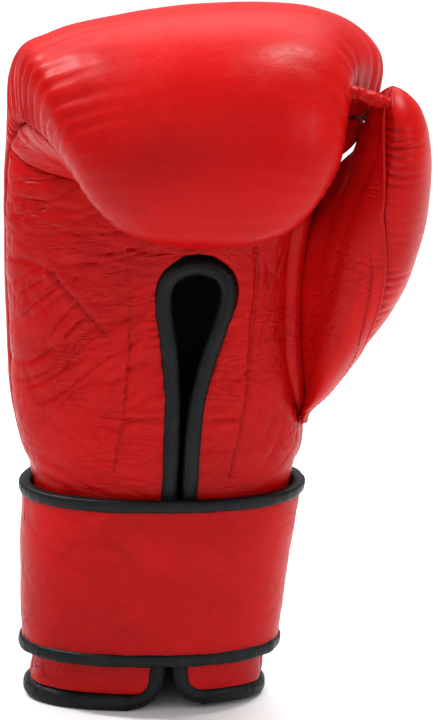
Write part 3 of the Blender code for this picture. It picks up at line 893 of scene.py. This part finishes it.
buildThumbPanel(
    "thumbOuter", ("thumb_outer_panel",), lambda h: thumbSeamAngle(h) + 0.8, lambda h: 449.4 + 0 * h, smoothLeather,
    "outer",
)
buildThumbPanel(
    "thumbFront", ("thumb_front_panel",), lambda h: 181 + 14 * holeAt(h), lambda h: thumbSeamAngle(h) - 0.8,
    creasedLeather, "front",
)
buildThumbPanel(
    "thumbBack", ("thumb_back_panel",), lambda h: 90.6 + 0 * h, lambda h: 179 - 38 * holeAt(h), creasedLeather,
    "back",
)


def sweep(name, path, sides, radii, finish, size=14, flatten=1.0):
    # a rounded roll along a path; sides are outward directions at its points
    path, sides = np.asarray(path, float), np.asarray(sides, float)
    run = np.gradient(path, axis=0)
    run /= np.linalg.norm(run, axis=1)[:, None]
    across = np.cross(run, sides)
    across /= np.linalg.norm(across, axis=1)[:, None]
    up = np.cross(across, run)
    turn = np.linspace(0, 2 * np.pi, size, endpoint=False)
    radii = np.broadcast_to(radii, len(path))[:, None, None]
    rings = path[:, None] + radii * (
        np.cos(turn)[None, :, None] * across[:, None] + flatten * np.sin(turn)[None, :, None] * up[:, None]
    )
    return closedTube(name, rings, finish)


def thumbTrim():
    height = np.linspace(122, 264, 120)
    seam = thumbPoint(height, thumbSeamAngle(height), -0.1)
    out = thumbPoint(height, thumbSeamAngle(height), -4) - thumbPoint(height, thumbSeamAngle(height), 4)
    cord = sweep("thumbSeamCord", seam, out, 0.0009, smoothLeather, 10)
    placePiece(cord, "thumb", "red_leather", "thumb_seam_cord")


thumbTrim()


web = {
    "from": 119.5,
    "to": 254.0,
    # height at the seam, x of the edge on the palm, how much higher or lower that edge is
    "palmEdge": (
        (116, 35, 2), (128, 33.5, 3), (145, 31.5, 2), (165, 31, 0), (185, 31.5, -2), (205, 34.5, -5),
        (225, 40, -11), (240, 44, -18), (254, 47, -25),
    ),
    "hollow": 1.0,
    "meets": 236.0,
    "stitchLine": 5.8,
}


def buildWeb():
    # the flat leather between the rolled edge on the palm and the thumb's front seam
    w = web
    height = spread(w["from"], w["to"], 1.0)[:, None]
    share = spread(0, 1, 1 / 60)[None, :]
    level = height[:, 0]
    edgeX, rise = tableAt(w["palmEdge"], level)
    root = handPoint(level + rise, aroundOf(level + rise, edgeX), -0.6)
    # from the palm straight to the thumb, then round its front to the seam
    last = thumbSeamAngle(level)[:, None] - 1.0
    turned = w["meets"] + (last - w["meets"]) * np.clip(share * 2 - 1, 0, 1)
    onThumb = thumbPoint(height, turned, -0.7)
    run = np.clip(share * 2, 0, 1)[..., None]
    base = root[:, None] * (1 - run) + onThumb * run
    for _ in range(10):
        base[:, 1:-1] = (base[:, :-2] + 2 * base[:, 1:-1] + base[:, 2:]) / 4
    left, right = edgeDistances(base)[:2]
    across, width = left, left[:, -1:]
    out = np.array((-0.62, -0.78, 0.0))
    lines = creases(across, height, 66, 34, 6, 161) * 0.3 + 0.3 * lattice(across / 12, height / 15, 163)
    ends = ease(np.minimum(share, 1 - share) / 0.12)
    stitched = 0.8 * np.exp(-(((right - w["stitchLine"]) / 0.8) ** 2)) * ease((204 - height) / 12)
    hollow = w["hollow"] * ease((height - 124) / 30) * np.sin(np.pi * np.clip(share * 2, 0, 1)) ** 2
    sag = hollow + (lines + stitched) * ends
    outer = base - (sag * 0.001)[..., None] * out
    made = closedSheet("thumbWeb", outer, outer - 0.0011 * out, creasedLeather)
    # painted shade: darker in the creases, along the stitched line and at the seam edge
    markCreases(made, (lines * 0.5 + stitched) * ends + tuck(right, 0.8, 0.8))
    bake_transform(made)
    steps = [k for k in range(len(level)) if level[k] < 201 and width[k, 0] > w["stitchLine"] + 3]
    line = [outer[k, int(np.argmin(np.abs(right[k] - w["stitchLine"])))] for k in steps]
    rows = [onSurface([made], smoothed(line), 0.00008)]
    sewn = sewStitches("thumbStitches", rows, redThread, 0.003, 0.0022, 0.00028)
    placePiece(sewn, "thumb", "red_leather")
    return made


def smoothed(line, rounds=6):
    line = np.asarray(line, float)
    for _ in range(rounds):
        line[1:-1] = (line[:-2] + 2 * line[1:-1] + line[2:]) / 4
    return line


buildWeb()


def buildWelt():
    # the rolled edge of the palm that the thumb is sewn to
    z = np.linspace(214, 121, 90)
    x = tableAt(palm["weltLine"], z)[0]
    around = aroundOf(z, x)
    spots = handPoint(z, around, 0.2)
    out = handPoint(z, around, -3) - handPoint(z, around, 3)
    radius = 0.001 * (4.3 - 2.2 * ease((150 - z) / 34))
    roll = sweep("thumbWelt", spots, out, radius, creasedLeather, 20)
    return placePiece(roll, "glove", "red_leather")


buildWelt()


def buildLock():
    # the short rolled strip that holds the thumb's tip to the fist
    start, end = handPoint(284, 8, 1.5), thumbPoint(261, 234, 0.8)
    path = curved([start, start + (end - start) * 0.35 + (0, -0.002, 0.0012),
                   start + (end - start) * 0.7 + (0, -0.002, 0.0006), end], 40)
    share = np.linspace(0, 1, 40)
    radius = 0.0029 + 0.0004 * np.sin(share * 19) * np.sin(share * 7 + 1)
    roll = sweep("thumbLock", path, np.tile((0.0, -0.7, 0.7), (40, 1)), radius, creasedLeather, 16)
    return placePiece(roll, "glove", "red_leather", "thumb_lock_strap")


buildLock()
print("thumb built")


# the strap: three lengths that meet end to end, over the root sewn to the cuff

strap = {
    "bottom": 20.5,
    "top": 92.5,
    "binding": 5.6,
    "lift": 1.3,
    "overRoot": 7.1,
    "tabFrom": -230.0,
    "lining": 0.9,
    "core": (1.2, 2.6),
    "leather": (2.9, 4.1),
    "proud": 4.9,
    "step": 1.3,
    "bulge": 0.9,
    # first and last angle of each length, with the node segments it stands for
    "lengths": (
        ("strapWrap", 100.0, -166.0, ("root", "palm")),
        ("strapSide", -166.4, -200.0, ("side",)),
        ("strapTab", -200.4, -317.0, ("tab",)),
    ),
}


def strapPoint(height, around, out):
    # out is millimetres outwards from the strap's inner side
    lift = strap["lift"] + strap["overRoot"] * ease((strap["tabFrom"] - around) / 26)
    stand = 0.5 * np.exp(-(((around + 4) / 16) ** 2)) * ease((height - 60) / 30)
    return handPoint(height, around, -lift - out - stand)


def bendStrap(made, index):
    # each length's placement is baked into its mesh
    if index == 0:
        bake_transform(made)
    elif index == 1:
        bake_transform(made)
    else:
        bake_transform(made)


def buildStrapLength(index):
    s = strap
    name, first, last, segments = s["lengths"][index]
    low, high = s["bottom"] + s["binding"], s["top"] - s["binding"]
    height = spread(low - 2.2, high + 2.2, s["step"])[:, None]
    around = spread(first, last, 1.25)[None, :] + 0 * height
    height = height + 0 * around
    left, _, bottom, top = edgeDistances(strapPoint(height, around, 0))
    rim = np.minimum(bottom, top)
    wide = left + index * 200
    folds = 0.8 * creases(wide, height, 32, 30, 7, 121) + 0.5 * creases(wide, height, -48, 18, 5, 125)
    slack = 0.5 * lattice(wide / 30, height / 18, 127)
    bulge = s["bulge"] * (1 - np.exp(-((rim / 11) ** 2))) + slack * (1 - np.exp(-rim / 5)) - 0.45 * folds
    rowsOut = {
        "Leather": (s["leather"][0] + 0 * rim, s["leather"][1] + bulge, strapLeather, "leather", "red_leather"),
        "Core": (s["core"][0] + 0 * rim, s["core"][1] + 0 * rim, padFoam, "core", "pad_foam"),
        "Lining": (0.1 + 0 * rim, s["lining"] + 0 * rim, blackLining, "lining", "black_lining"),
    }
    for part, (inner, outer, finish, node, slot) in rowsOut.items():
        keep = slice(None) if part == "Leather" else slice(2, -2)
        keep = (keep, slice(3 if part == "Core" and index == 0 else 0, None))
        made = closedSheet(name + part, strapPoint(height, around, outer)[keep],
                           strapPoint(height, around, inner)[keep], finish)
        if part == "Leather":
            # painted shade: darker in the creases and next to the bound edges
            markCreases(made, folds * 0.45 + tuck(rim - 2.2, 0.7, 0.8))
        part == "Core"
        finishStrap(made, index, [f"strap_{segment}_{node}" for segment in segments])
    for edge, side in (("Top", 1), ("Bottom", -1)):
        middle = (s["top"] if side > 0 else s["bottom"]) - side * s["binding"] / 2
        made = edgeBinding(name + "Binding" + edge, middle, spread(first, last, 1.6))
        nodes = [f"strap_{segment}_binding_{edge.lower()}" for segment in segments]
        finishStrap(made, index, nodes)


def finishStrap(made, index, nodes):
    bendStrap(made, index)
    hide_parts(*nodes)


def edgeBinding(name, middle, around):
    # a folded band round the strap's edge: flat inside, rounded outside, with small puckers
    turn = np.linspace(0, 2 * np.pi, 22, endpoint=False)
    high = roundPart(np.sin(turn), 2.6) * strap["binding"] / 2
    out = roundPart(np.cos(turn), 3.2) * (strap["proud"] + 0.6) / 2 + strap["proud"] / 2
    distance = np.concatenate([[0], np.cumsum(np.full(len(around) - 1, 1.9))])
    pucker = 0.22 * lattice(distance / 2.6, distance * 0 + middle, 131)
    pucker = pucker + 0.15 * lattice(distance / 9, distance * 0, 133)
    rings = strapPoint(
        middle + high[None, :] * (1 + 0.06 * pucker[:, None]),
        around[:, None] + 0 * high[None, :],
        np.maximum(out[None, :] + pucker[:, None] * (out[None, :] > strap["proud"] / 2), 0.0),
    )
    return closedTube(name, rings, blackBinding)


def strapEnd():
    # the tab's bound end
    height = spread(strap["bottom"], strap["top"], 1.4)
    turn = np.linspace(0, 2 * np.pi, 20, endpoint=False)
    around = -321 + roundPart(np.sin(turn), 2.6) * 4.0
    out = roundPart(np.cos(turn), 3.2) * (strap["proud"] + 0.9) / 2 + strap["proud"] / 2
    corner = ease(np.minimum(height - strap["bottom"], strap["top"] - height) / 5)[:, None]
    rings = strapPoint(height[:, None], around[None, :] + (1 - corner) * 2.2, np.maximum(out[None, :], 0))
    made = closedTube("strapTabBindingEnd", rings, blackBinding)
    placePiece(made, "strap_tab", "black_binding", "strap_tab_binding_end")


def buildPatch(name, node, body, angles, inner, outer):
    height = spread(29.3, 83.7, 1.6)[:, None]
    around = spread(*angles, 1.4)[None, :] + 0 * height
    height = height + 0 * around
    left, right, bottom, top = edgeDistances(strapPoint(height, around, 0))
    rim = np.minimum(np.minimum(left, right), np.minimum(bottom, top))
    nap = 0.1 * lattice(left / 1.6, bottom / 1.6, 137) - 0.35 * np.exp(-rim / 0.8)
    made = closedSheet(name, inner(height, around, nap), outer(height, around, nap), hookAndLoop)
    placePiece(made, body, "hook_and_loop", node)
    return made


for number in range(len(strap["lengths"])):
    buildStrapLength(number)
strapEnd()
buildPatch("loopPatch", "loop_patch", "glove", (96, 36), lambda h, a, n: handPoint(h, a, -5.75),
           lambda h, a, n: handPoint(h, a, -6.75 - n))
buildPatch("hookPatch", "hook_patch", "strap_tab", (-264, -315), lambda h, a, n: strapPoint(h, a, -0.3),
           lambda h, a, n: strapPoint(h, a, -1.25 - n * 0.5))
print("strap built")


# the bound edges of the slit and the hem

edge = {"radius": 3.3, "top": 196.0, "corner": 9.0, "footTop": 12.5, "flapRise": 1.9}


def slitPath():
    heights = np.concatenate([spread(12.5, 150, 2.5), spread(152, 188, 2.0)])
    legs = []
    for side in (-1, 1):
        line = tableAt(glove["slitLine"], heights)[0]
        half = tableAt(glove["slit"], heights)[0] - edge["radius"] - 0.5
        legs.append(np.stack([line + side * half, heights], axis=1))
    x = np.array((-16, -13.5, -11, -8.5, -6, -3.5, -1))
    head = np.stack([x, edge["top"] - edge["radius"] - 0.9 - 0.06 * (x + 8.5) ** 2], axis=1)
    turn = np.radians(np.linspace(90, 0, 9))[:-1]
    feet = []
    for side, leg in ((-1, legs[0]), (1, legs[1])):
        drop = edge["corner"] - max(side, 0) * edge["flapRise"]
        across = leg[0, 0] + side * edge["corner"] * (1 - np.cos(turn))
        foot = np.stack([across, edge["footTop"] - drop * np.sin(turn)], axis=1)
        run = foot[0] + np.array([(side * 5.0, 0.0), (side * 2.5, 0.0)])
        feet.append(np.concatenate([run, foot]))
    return np.concatenate([feet[0], legs[0], head, legs[1][::-1], feet[1][::-1]])


def buildSlitBinding():
    line = smoothed(curved(slitPath(), 420), 60)
    x, z = line[:, 0], line[:, 1]
    around = aroundOf(z, x)
    path = handPoint(z, around, 2.3)
    out = handPoint(z, around, -3) - handPoint(z, around, 3)
    at = np.linspace(0, 420, len(x))
    radius = 0.001 * (edge["radius"] + 0.25 + 0.12 * lattice(at / 2.1, at * 0, 141))
    made = sweep("slitBinding", path, out, radius, blackBinding, 18, 0.86)
    placePiece(made, "glove", "black_binding", "slit_binding")
    rows = []
    for offset in (-1, 1):
        run = np.gradient(path, axis=0)
        across = np.cross(run, out)
        across /= np.linalg.norm(across, axis=1)[:, None]
        rows.append(onSurface([made], path + across * offset * 0.0021 + out * 0.5, 0.0))
    placePiece(sewStitches("slitStitches", rows, blackThread, 0.0026, 0.0018, 0.00026), "glove", "black_binding")


buildSlitBinding()


def buildHem():
    first, last = slitEdge(6.0, 1, 7.0) - 360, slitEdge(6.0, -1, 7.0)
    around = spread(float(first), float(last), 1.3)
    turn = np.linspace(0, 2 * np.pi, 22, endpoint=False)
    middle, half = 3.6, 3.6
    depth = 3.4 - roundPart(np.cos(turn), 3.0) * 4.1
    at = around / 2.2
    pucker = 0.2 * lattice(at, at * 0, 143)
    corner = np.exp(-(((np.mod(around, 360) - 184) / 16) ** 2))[:, None]
    flap = ease((around[:, None] + 75) / -12)
    rise = edge["flapRise"] * ease(-around[:, None] / 50)
    high = rise + middle + roundPart(np.sin(turn), 2.6)[None, :] * half * (1 - 0.1 * flap) + flap * 0.7 + corner * 0.9
    rings = handPoint(high, around[:, None], depth[None, :] + pucker[:, None] * (turn < np.pi)[None, :])
    made = closedTube("hemBinding", rings, blackBinding)
    placePiece(made, "glove", "black_binding", "hem_binding")
    line = handPoint(6.2, around, -3)
    rows = [onSurface([made], line, 0.0)]
    placePiece(sewStitches("hemStitches", rows, blackThread, 0.0028, 0.002, 0.00028), "glove", "black_binding")


buildHem()
print("bindings built")


# padding and linings under the leather

def softSolid(name, place, alongs, arounds, outer, inner, finish, body, slot, nodes):
    # a closed solid between two depths under the leather, on the piece's own window
    along = spread(*alongs, 3.0)[:, None]
    first, last = (np.asarray(side(along) if callable(side) else side, float) for side in arounds)
    share = spread(0, 1, 3.5 / max(abs(float(np.mean(last - first))), 4))[None, :]
    around = first + (last - first) * share
    along = along + 0 * around
    flat = place(along, around, 0)
    left, right, bottom, top = edgeDistances(flat)
    rim = np.minimum(np.minimum(left, right), np.minimum(bottom, top))
    depthOut = outer(along, around) + 0.5 * np.exp(-rim / 2)
    depthIn = np.maximum(inner(along, around) - 0.3 * np.exp(-rim / 2), depthOut + 0.4)
    made = closedSheet(name, place(along, around, depthOut), place(along, around, depthIn), finish)
    placePiece(made, body, slot, *nodes)
    return made


def closedSleeve(name, place, alongs, outer, inner, finish, body, slot, nodes, closeEnd=False):
    # a sleeve all the way round; closeEnd draws its far end together
    along = spread(*alongs, 3.0)[:, None]
    around = np.linspace(0, 360, 97)[:-1][None, :] + 0 * along
    along = along + 0 * around
    skinOut, skinIn = place(along, around, outer(along, around)), place(along, around, inner(along, around))
    rows, columns = skinOut.shape[:2]
    at = np.arange(rows * columns).reshape(rows, columns)
    nextOne = np.roll(at, -1, axis=1)
    count = rows * columns
    wall = np.stack([at[:-1], nextOne[:-1], nextOne[1:], at[1:]], axis=-1).reshape(-1, 4)
    rimLow = np.stack([at[0] + count, nextOne[0] + count, nextOne[0], at[0]], axis=-1)
    rimHigh = np.stack([at[-1], nextOne[-1], nextOne[-1] + count, at[-1] + count], axis=-1)
    points = np.concatenate([skinOut.reshape(-1, 3), skinIn.reshape(-1, 3)])
    faces = np.concatenate([wall, wall[:, ::-1] + count, rimLow]).tolist()
    if closeEnd:
        points = np.concatenate([points, [skinOut[-1].mean(0), skinIn[-1].mean(0)]])
        for k in range(columns):
            faces.append([int(at[-1, k]), int(nextOne[-1, k]), 2 * count])
            faces.append([int(nextOne[-1, k]) + count, int(at[-1, k]) + count, 2 * count + 1])
    else:
        faces += rimHigh.tolist()
    made = newObject(name, points, facingOut(points, faces), finish)
    placePiece(made, body, slot, *nodes)
    return made


padding = {"start": 1.7, "softShare": 0.42, "palm": 2.2, "lining": 0.9}


def buildPadding():
    start, share = padding["start"], padding["softShare"]

    def skin(along, around):
        return start + 1.6 + 0 * along

    def softIn(along, around):
        return share * paddingAt(along, around)

    def firmOut(along, around):
        return share * paddingAt(along, around) + 0.4

    def firmIn(along, around):
        return paddingAt(along, around) - 0.8

    def tip(along, around):
        return tableAt(glove["hand"], along)[3] - 1.5

    def palmIn(along, around):
        return start + 3.0 + 0 * along

    def palmOut(along, around):
        return start + 1.6 + 0 * along

    fist, back, cuff = (186.5, 328), (100.5, 186), (8.5, 100)
    softSolid("knucklePadSoft", handPoint, fist, (-6, 186), skin, softIn, padFoam, "glove", "pad_foam",
              ("knuckle_foam_soft",))
    softSolid("knucklePadFirm", handPoint, fist, (-6, 186), firmOut, firmIn, padFoam, "glove", "pad_foam",
              ("knuckle_foam_firm",))
    softSolid("handBackPad", handPoint, back, (lambda a: -6 + 38 * holeAt(a), 186), skin, firmIn, padFoam, "glove",
              "pad_foam", ("hand_back_foam",))
    softSolid("cuffPad", handPoint, cuff, (-6, 186), skin, firmIn, padFoam, "glove", "pad_foam", ("cuff_foam",))
    softSolid("palmPadPinky", handPoint, (8.5, 202), (190, lambda a: slitEdge(a, -1, 1.6)), palmOut, palmIn, padFoam,
              "glove", "pad_foam", ("palm_foam_pinky",))
    softSolid("palmPadThumb", handPoint, (8.5, 202), (lambda a: slitEdge(a, 1, 1.6), lambda a: 350 - 30 * holeAt(a)),
              palmOut, palmIn, padFoam, "glove", "pad_foam", ("palm_foam_thumb",))
    softSolid("fingertipPad", handPoint, (329, 340), (2, 178), skin, tip, padFoam, "glove", "pad_foam",
              ("fingertip_foam",))


buildPadding()


def buildLinings():
    def near(along, around):
        return paddingAt(along, around)

    def far(along, around):
        return paddingAt(along, around) + padding["lining"]

    def lining(name, node, alongs, arounds):
        softSolid(name, handPoint, alongs, arounds, near, far, blackLining, "glove", "black_lining", (node,))

    cuffSides = (lambda a: slitEdge(a, 1, 1.5) - 360, lambda a: slitEdge(a, -1, 1.5))
    lining("cuffLining", "cuff_lining", (8, 120.0), cuffSides)
    lining("palmLining", "palm_lining", (120.1, 186.2), (34, lambda a: slitEdge(a, -1, 1.5)))
    lining("thumbSideLining", "thumb_side_lining", (120.1, 186.2), (lambda a: slitEdge(a, 1, 1.5), 315))
    lining("knuckleLining", "knuckle_lining", (186.3, 198.9), (-20, 200))
    closedSleeve("fingerLining", handPoint, (199, 328), near, far, blackLining, "glove", "black_lining",
                 ("finger_lining",), closeEnd=True)


buildLinings()


def stallDepth(around):
    return 4.4 + 3.6 * (0.5 + 0.5 * np.cos(np.radians(around)))


def buildThumbInside():
    def near(height, around):
        return stallDepth(around) + 0 * height

    def far(height, around):
        return stallDepth(around) + padding["lining"] + 0 * height

    def skin(height, around):
        return 2.6 + 0 * height

    def padIn(height, around):
        return stallDepth(around) - 0.6 + 0 * height

    def thin(height, around):
        return 3.7 + 0 * height

    def deep(height, around):
        return 3.6 + 1.5 * ease((246 - height) / 20)

    def deeper(height, around):
        return deep(height, around) + 0.8

    softSolid("thumbPad", thumbPoint, (131, 258), (-97, 97), skin, padIn, padFoam, "thumb", "pad_foam",
              ("thumb_foam",))
    softSolid("thumbFrontPad", thumbPoint, (131, 252), (lambda h: 182 + 38 * holeAt(h), 252), deep, deeper, padFoam,
              "thumb", "pad_foam", ("thumb_front_foam",))
    softSolid("thumbBackPad", thumbPoint, (131, 258), (108, lambda h: 178 - 38 * holeAt(h)), skin, thin, padFoam,
              "thumb", "pad_foam", ("thumb_back_foam",))
    closedSleeve("thumbTipLining", thumbPoint, (190, 244), near, far, blackLining, "thumb", "black_lining",
                 ("thumb_tip_lining",), closeEnd=True)
    softSolid("thumbBaseLining", thumbPoint, (142, 189), (-140, 140), near, far, blackLining, "thumb", "black_lining",
              ("thumb_base_lining",))


buildThumbInside()


def buildGripBar():
    # the padded bar the fingers close on, a little slimmer towards its ends
    share = np.linspace(0, 1, 50)
    x = -46 + 72 * share
    centre = np.stack([x + glove["middle"][0], np.full(50, glove["pivotY"] + glove["middle"][1]), np.full(50, 233.0)])
    ends = np.minimum(share, 1 - share)
    radius = 0.0069 * (0.72 + 0.28 * ease(ends / 0.06)) + 0.0001 * lattice(share * 20, share * 0, 151)
    made = sweep("gripBar", centre.T * 0.001, np.tile((0.0, -1.0, 0.0), (50, 1)), radius, padFoam, 24)
    placePiece(made, "glove", "pad_foam", "grip_bar")


buildGripBar()
print("padding and linings built")


# floor, light and camera

stage = {"world": 0.42, "elevation": 14.0, "distance": 3.0, "viewHeight": 0.2979}


def buildStage():
    mesh = bpy.data.meshes.new("floor")
    size = 6.0
    mesh.from_pydata([(-size, -size, 0), (size, -size, 0), (size, size, 0), (-size, size, 0)], [], [(0, 1, 2, 3)])
    floor = bpy.data.objects.new("floor", mesh)
    bpy.context.scene.collection.objects.link(floor)
    f = Finish("paleFloor", {"Roughness": 0.9, "Specular IOR Level": 0.1})
    f.feed("Base Color", f.blend(f.noise(3.0, 2.0, 0.5), (0.84, 0.84, 0.84), (0.88, 0.88, 0.88)))
    mesh.materials.append(f.material)

    world = bpy.data.worlds.new("studio")
    bpy.context.scene.world = world
    world.use_nodes = True
    background = world.node_tree.nodes["Background"]
    background.inputs["Color"].default_value = (1, 1, 1, 1)
    background.inputs["Strength"].default_value = stage["world"]

    # name, place, aim, width, height, power
    for name, place, aim, width, high, power in (
        ("frontFill", (-0.5, -2.2, 1.1), (0, 0, 0.14), 3.4, 2.4, 18),
        ("topRight", (0.42, 0.12, 1.25), (0, -0.03, 0.2), 0.17, 0.5, 16),
        ("backLeft", (-0.74, 0.22, 1.15), (-0.04, 0, 0.24), 0.18, 0.4, 15),
        ("sideRight", (1.7, -0.9, 0.8), (0, 0, 0.14), 0.5, 0.6, 8),
        ("floorLight", (0.0, 1.6, 1.9), (0, 1.0, 0), 2.6, 1.4, 36),
    ):
        lamp = bpy.data.lights.new(name, "AREA")
        lamp.shape, lamp.size, lamp.size_y, lamp.energy = "RECTANGLE", width, high, power
        made = bpy.data.objects.new(name, lamp)
        made.location = place
        made.rotation_euler = (Vector(aim) - Vector(place)).to_track_quat("-Z", "Y").to_euler()
        bpy.context.scene.collection.objects.link(made)

    lens = bpy.data.cameras.new("camera")
    camera = bpy.data.objects.new("camera", lens)
    bpy.context.scene.collection.objects.link(camera)
    tilt = math.radians(stage["elevation"])
    target = Vector((-0.0001, 0.0, 0.1473))
    camera.location = target + Vector((0, -math.cos(tilt), math.sin(tilt))) * stage["distance"]
    camera.rotation_euler = (target - camera.location).to_track_quat("-Z", "Y").to_euler()
    lens.sensor_fit = "VERTICAL"
    lens.sensor_height = 24.0
    lens.lens = 12.0 / (stage["viewHeight"] / 2 / stage["distance"])
    bpy.context.scene.camera = camera


buildStage()
bpy.context.scene.view_settings.view_transform = "Standard"
print("stage set")
